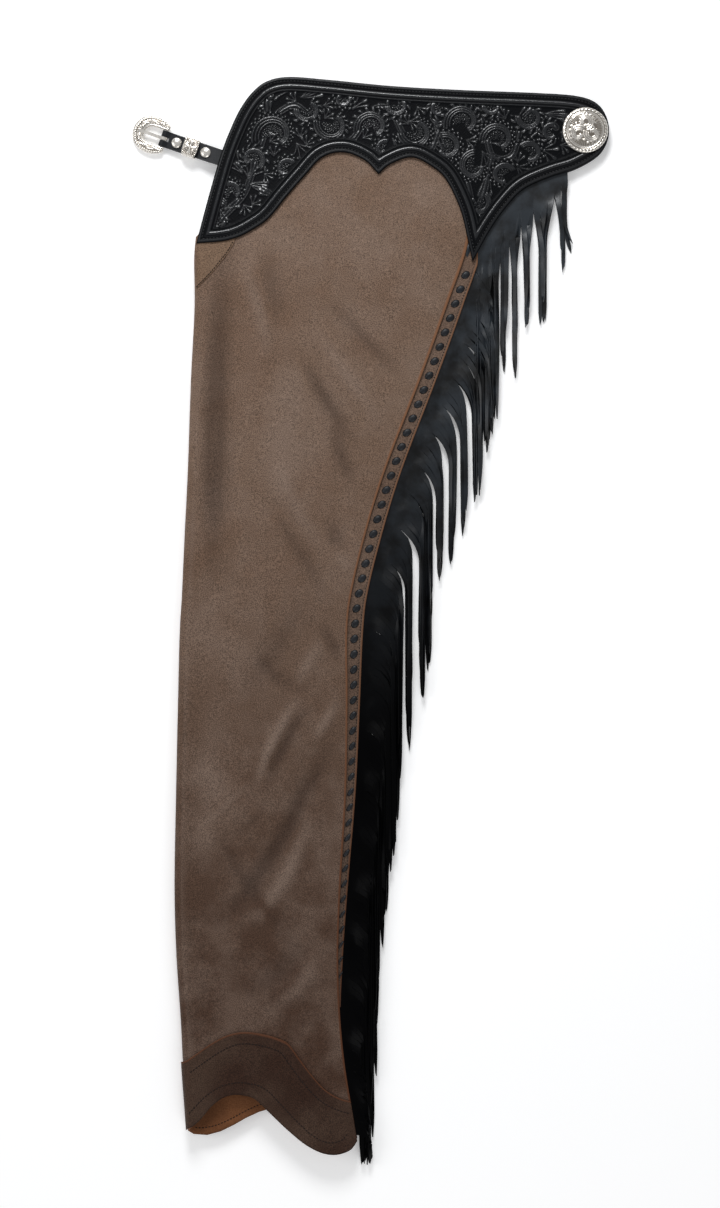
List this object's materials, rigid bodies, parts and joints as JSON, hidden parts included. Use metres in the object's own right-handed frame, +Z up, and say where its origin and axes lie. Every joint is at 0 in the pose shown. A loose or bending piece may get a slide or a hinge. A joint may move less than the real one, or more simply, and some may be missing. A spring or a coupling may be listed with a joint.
{
  "type": "fringed leather show chaps, folded in half and laid flat",
  "caption": "Western show chaps with a tooled yoke, seam fringe, concho and buckle strap, folded and laid flat.",
  "frame": {"origin": "centre of the footprint, on the surface that the chaps lie on", "axes": "+X from the front edge to the centre back, +Y from the hems up to the waist, +Z up from the surface"},
  "size_m": [0.4782, 1.088, 0.0236],
  "materials": {
    "leg_leather": "napped, worn",
    "gore_leather": "napped",
    "yoke_leather": "tooled, semi-gloss",
    "fringe_leather": "smooth, semi-gloss",
    "silver": "engraved, polished"
  },
  "bodies": {
    "chaps": {"leg": "leg_leather", "under_leg": "leg_leather", "hem_band": "leg_leather", "seam_strip": "leg_leather", "front_gore": "gore_leather", "yoke": "yoke_leather", "under_yoke": "yoke_leather", "buckle_strap": "yoke_leather", "billet": "yoke_leather", "fringe": "fringe_leather", "under_fringe": "fringe_leather", "concho": "silver", "concho_screw": "silver", "strap_snap_1": "silver", "strap_snap_2": "silver", "keeper": "silver"},
    "buckle": {"buckle_frame": "silver"},
    "tongue": {"buckle_tongue": "silver"}
  },
  "joints": [
    {"name": "buckle_swivel", "type": "hinge", "parent": "chaps", "child": "buckle", "pos_m": [-0.20747, 0.483, 0.0042], "axis": [0.3305, 0.9438, 0], "range_deg": [0, 75]},
    {"name": "tongue_swing", "type": "hinge", "parent": "buckle", "child": "tongue", "pos_m": [-0.20747, 0.483, 0.0042], "axis": [0.3305, 0.9438, 0], "range_deg": [0, 55]}
  ]
}
